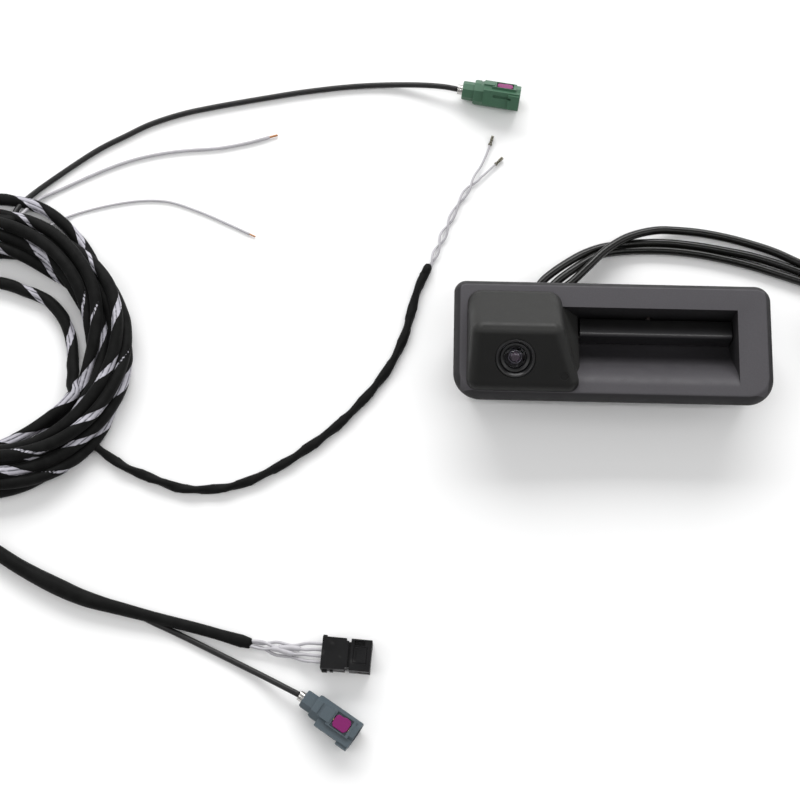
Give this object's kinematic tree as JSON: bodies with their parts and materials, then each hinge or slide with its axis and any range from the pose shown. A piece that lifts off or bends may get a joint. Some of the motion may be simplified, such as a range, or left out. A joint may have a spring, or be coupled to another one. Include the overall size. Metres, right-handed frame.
{
  "type": "tailgate handle with reversing camera and wiring harness",
  "caption": "Tailgate release handle with a hooded reversing camera and a finger recess, three short pigtails, and a coiled, taped wiring harness with coaxial and multi-way plugs.",
  "frame": {"origin": "the middle of the handle at the level of its rear cover, which lies on the table", "axes": "+X along the handle, +Y towards its upper edge, +Z out of its face"},
  "size_m": [0.4272, 0.2645, 0.04],
  "materials": {
    "faceplate_plastic": "fine grained, charcoal",
    "hood_plastic": "smooth satin",
    "housing_plastic": "satin",
    "soft_rubber": "soft, matt",
    "steel": "plated",
    "brass": "bright",
    "plunger_plastic": "satin",
    "lens_black": "gloss black",
    "lens_glass": "coated",
    "sensor_glass": "glossy",
    "circuit_board": "solder mask",
    "cable_jacket": "smooth vinyl",
    "tie_plastic": "satin",
    "plug_black": "satin",
    "harness_tape": "cloth tape over white wires",
    "green_plastic": "satin",
    "grey_blue_plastic": "satin",
    "magenta_plastic": "satin",
    "wire_white": "smooth",
    "copper": "bare copper strands",
    "tinned_pin": "tinned"
  },
  "bodies": {
    "root": {"faceplate": "faceplate_plastic", "camera_hood": "hood_plastic", "rear_housing": "housing_plastic", "rear_cover": "housing_plastic", "cover_screws": "steel", "rim_gasket": "soft_rubber", "mounting_inserts": "brass", "pivot_pin": "steel", "return_springs": "steel", "switch_body": "housing_plastic", "switch_terminals": "steel", "camera_front_case": "housing_plastic", "camera_rear_case": "housing_plastic", "case_seal": "soft_rubber", "case_screws": "steel", "lens_barrel": "lens_black", "lens_bezel": "lens_black", "front_lens": "lens_glass", "inner_lens": "lens_glass", "lens_seal": "soft_rubber", "image_sensor": "sensor_glass", "sensor_board": "circuit_board", "camera_cradle": "housing_plastic", "cradle_screws": "steel", "cable_grommet": "soft_rubber", "inner_leads": "cable_jacket", "video_pigtail": "cable_jacket", "power_pigtail": "cable_jacket", "switch_pigtail": "cable_jacket", "pigtail_coil": "cable_jacket", "pigtail_tie": "tie_plastic", "video_plug": "plug_black", "power_plug": "plug_black", "switch_plug": "plug_black", "harness_coil": "harness_tape", "green_lead": "cable_jacket", "green_body": "green_plastic", "grey_lead": "cable_jacket", "grey_body": "grey_blue_plastic", "coax_ferrules": "steel", "coax_contacts": "brass", "long_wire": "wire_white", "short_wire": "wire_white", "wire_tips": "copper", "taped_branch": "harness_tape", "twisted_pair": "wire_white", "crimp_pins": "tinned_pin", "main_branch": "harness_tape", "plug_branch": "harness_tape", "plug_wires": "wire_white", "plug4_body": "plug_black", "plug4_cover": "plug_black", "plug4_terminals": "brass"},
    "release_bar": {"release_bar": "housing_plastic"},
    "switch_plunger": {"switch_plunger": "plunger_plastic"},
    "green_lock": {"green_lock": "magenta_plastic"},
    "grey_lock": {"grey_lock": "magenta_plastic"},
    "plug4_lock": {"plug4_lock": "plug_black"}
  },
  "joints": [
    {"name": "release_pivot", "type": "hinge", "parent": "root", "child": "release_bar", "pos_m": [0.017, 0.0062, 0.0095], "axis": [-1, 0, 0], "range_deg": [0, 6], "stiffness_Nm_per_rad": 0.02, "springref_deg": -5.73, "deforming": ["return_springs"]},
    {"name": "plunger_travel", "type": "slide", "parent": "root", "child": "switch_plunger", "axis": [0, 1, 0], "range_m": [0, 0.00055]},
    {"name": "green_lock_slide", "type": "slide", "parent": "root", "child": "green_lock", "axis": [0.1045, 0.6993, 0.7071], "range_m": [0, 0.0018]},
    {"name": "grey_lock_slide", "type": "slide", "parent": "root", "child": "grey_lock", "axis": [0, 0, 1], "range_m": [0, 0.0018]},
    {"name": "plug4_lock_slide", "type": "slide", "parent": "root", "child": "plug4_lock", "axis": [0, 0, 1], "range_m": [0, 0.0012]}
  ],
  "couplings": [
    {"joint": "plunger_travel", "follows": "release_pivot", "m_per_rad": 0.005}
  ]
}
